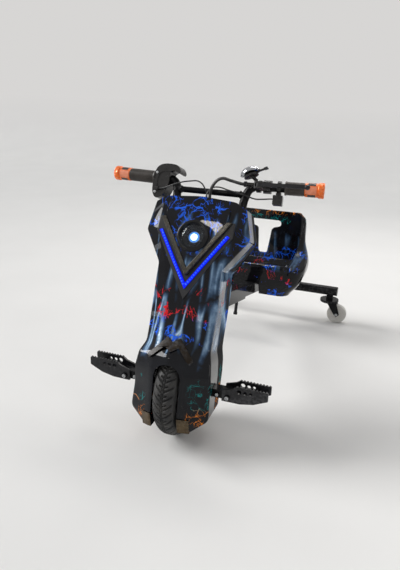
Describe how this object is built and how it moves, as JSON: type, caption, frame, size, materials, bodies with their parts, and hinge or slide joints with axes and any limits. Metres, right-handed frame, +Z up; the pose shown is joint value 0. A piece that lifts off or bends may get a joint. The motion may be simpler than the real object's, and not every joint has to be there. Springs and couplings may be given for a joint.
{
  "type": "electric drift tricycle",
  "caption": "Electric drift tricycle: driven front wheel under a tall steering fairing with handlebar and foot pegs, bucket seat on a telescopic beam, rear bar on swivel casters.",
  "frame": {"origin": "bottom centre of the bounding box, on the floor", "axes": "+X to the rider's left, +Y towards the rear bar, +Z up; the front wheel is at -Y"},
  "size_m": [0.673, 1.0779, 0.6835],
  "materials": {
    "tyre": "matt tread",
    "motor_alloy": "satin cast",
    "stator_iron": "varnished windings",
    "steel": "brushed",
    "frame_paint": "gloss black",
    "fairing_gloss": "gloss black with coloured streaks",
    "seat_gloss": "gloss black with coloured streaks",
    "bronze_trim": "satin gunmetal",
    "matt_plastic": "fine grain",
    "led_blue": "translucent, lit",
    "lamp_lens": "clear, lit",
    "grip_rubber": "soft ribbed",
    "orange_alloy": "anodised",
    "orange_plastic": "smooth",
    "black_alloy": "black anodised",
    "chrome": "polished",
    "cable_rubber": "smooth sheath",
    "grey_plastic": "moulded",
    "battery_wrap": "shrink wrap",
    "caster_tread": "smooth polyurethane"
  },
  "bodies": {
    "frame": {"rear_frame": "frame_paint", "rear_bar": "frame_paint", "bar_cap_left": "matt_plastic", "bar_cap_right": "matt_plastic", "seat_shell": "seat_gloss", "battery_tray": "grey_plastic", "battery_lid": "grey_plastic", "battery_pack": "battery_wrap", "controller": "motor_alloy", "charge_socket": "matt_plastic", "caster_stem_left": "steel", "caster_stem_right": "steel"},
    "front_frame": {"front_frame": "frame_paint", "head_bearing_lower": "steel", "head_bearing_upper": "steel"},
    "lock_knob": {"lock_knob": "black_alloy"},
    "steering": {"fork": "frame_paint", "steering_stem": "steel", "stem_nut": "steel", "front_axle": "steel", "motor_stator": "stator_iron", "front_shell": "fairing_gloss", "rear_shell": "fairing_gloss", "shell_bracket": "frame_paint", "v_trim": "bronze_trim", "v_panel": "matt_plastic", "led_strip": "led_blue", "headlamp_bezel": "matt_plastic", "headlamp_lens": "lamp_lens", "brow_trim": "fairing_gloss", "foot_trim_left": "bronze_trim", "foot_trim_right": "bronze_trim", "handlebar": "frame_paint", "bar_clamp": "motor_alloy", "grip_left": "grip_rubber", "grip_cap_left": "orange_alloy", "grip_cap_right": "orange_alloy", "throttle_housing": "matt_plastic", "brake_bracket": "matt_plastic", "switch_block": "matt_plastic", "bell_base": "matt_plastic", "bell_dome": "chrome", "brake_cable": "cable_rubber", "throttle_cable": "cable_rubber", "switch_cable": "cable_rubber", "peg_mount_left": "frame_paint", "peg_mount_right": "frame_paint"},
    "front_wheel": {"tyre": "tyre", "hub_motor": "motor_alloy", "motor_cover": "motor_alloy"},
    "throttle_grip": {"throttle_grip": "grip_rubber"},
    "brake_lever": {"brake_lever": "black_alloy"},
    "bell_thumb": {"bell_thumb": "matt_plastic"},
    "switch_button": {"switch_button": "orange_plastic"},
    "peg_left": {"peg_left": "black_alloy"},
    "peg_right": {"peg_right": "black_alloy"},
    "caster_left": {"caster_fork_left": "frame_paint"},
    "caster_right": {"caster_fork_right": "frame_paint"},
    "caster_wheel_left": {"caster_wheel_left": "caster_tread"},
    "caster_wheel_right": {"caster_wheel_right": "caster_tread"}
  },
  "joints": [
    {"name": "length_slide", "type": "slide", "parent": "frame", "child": "front_frame", "axis": [0, -0.9765, 0.2154], "range_m": [-0.08, 0.1]},
    {"name": "lock_turn", "type": "hinge", "parent": "front_frame", "child": "lock_knob", "pos_m": [0, 0.09383, 0.21825], "axis": [0, 0.2154, 0.9765], "range_deg": [0, 180]},
    {"name": "steer", "type": "hinge", "parent": "front_frame", "child": "steering", "pos_m": [0, -0.412, 0.127], "axis": [0, 0.342, 0.9397], "range_deg": [-30, 30]},
    {"name": "front_wheel_spin", "type": "hinge", "parent": "steering", "child": "front_wheel", "pos_m": [0, -0.412, 0.127], "axis": [1, 0, 0], "continuous": true},
    {"name": "throttle_twist", "type": "hinge", "parent": "steering", "child": "throttle_grip", "pos_m": [-0.125, -0.21638, 0.62939], "axis": [-0.9963, 0.0856, 0.006], "range_deg": [0, 70], "stiffness_Nm_per_rad": 0.25, "springref_deg": -17.19},
    {"name": "brake_squeeze", "type": "hinge", "parent": "steering", "child": "brake_lever", "pos_m": [0.13291, -0.25069, 0.63887], "axis": [-0.0348, 0.3392, 0.9401], "range_deg": [0, 10], "stiffness_Nm_per_rad": 2, "springref_deg": -11.46},
    {"name": "bell_push", "type": "hinge", "parent": "steering", "child": "bell_thumb", "pos_m": [0.105, -0.22696, 0.65878], "axis": [0.4226, -0.31, -0.8517], "range_deg": [0, 25], "stiffness_Nm_per_rad": 0.02, "springref_deg": -8.59},
    {"name": "switch_press", "type": "slide", "parent": "steering", "child": "switch_button", "axis": [0.0785, -0.9368, 0.341], "range_m": [0, 0.002], "stiffness_N_per_m": 500, "springref_m": -0.002},
    {"name": "peg_fold_left", "type": "hinge", "parent": "steering", "child": "peg_left", "pos_m": [0.14, -0.437, 0.15], "axis": [0, -1, 0], "range_deg": [0, 70]},
    {"name": "peg_fold_right", "type": "hinge", "parent": "steering", "child": "peg_right", "pos_m": [-0.14, -0.437, 0.15], "axis": [0, 1, 0], "range_deg": [0, 70]},
    {"name": "caster_swivel_left", "type": "hinge", "parent": "frame", "child": "caster_left", "pos_m": [0.265, 0.503, 0.0891], "axis": [0, 0, 1], "continuous": true},
    {"name": "caster_swivel_right", "type": "hinge", "parent": "frame", "child": "caster_right", "pos_m": [-0.265, 0.503, 0.0891], "axis": [0, 0, 1], "continuous": true},
    {"name": "caster_roll_left", "type": "hinge", "parent": "caster_left", "child": "caster_wheel_left", "pos_m": [0.299, 0.503, 0.0375], "axis": [0, 1, 0], "continuous": true},
    {"name": "caster_roll_right", "type": "hinge", "parent": "caster_right", "child": "caster_wheel_right", "pos_m": [-0.299, 0.503, 0.0375], "axis": [0, 1, 0], "continuous": true}
  ]
}
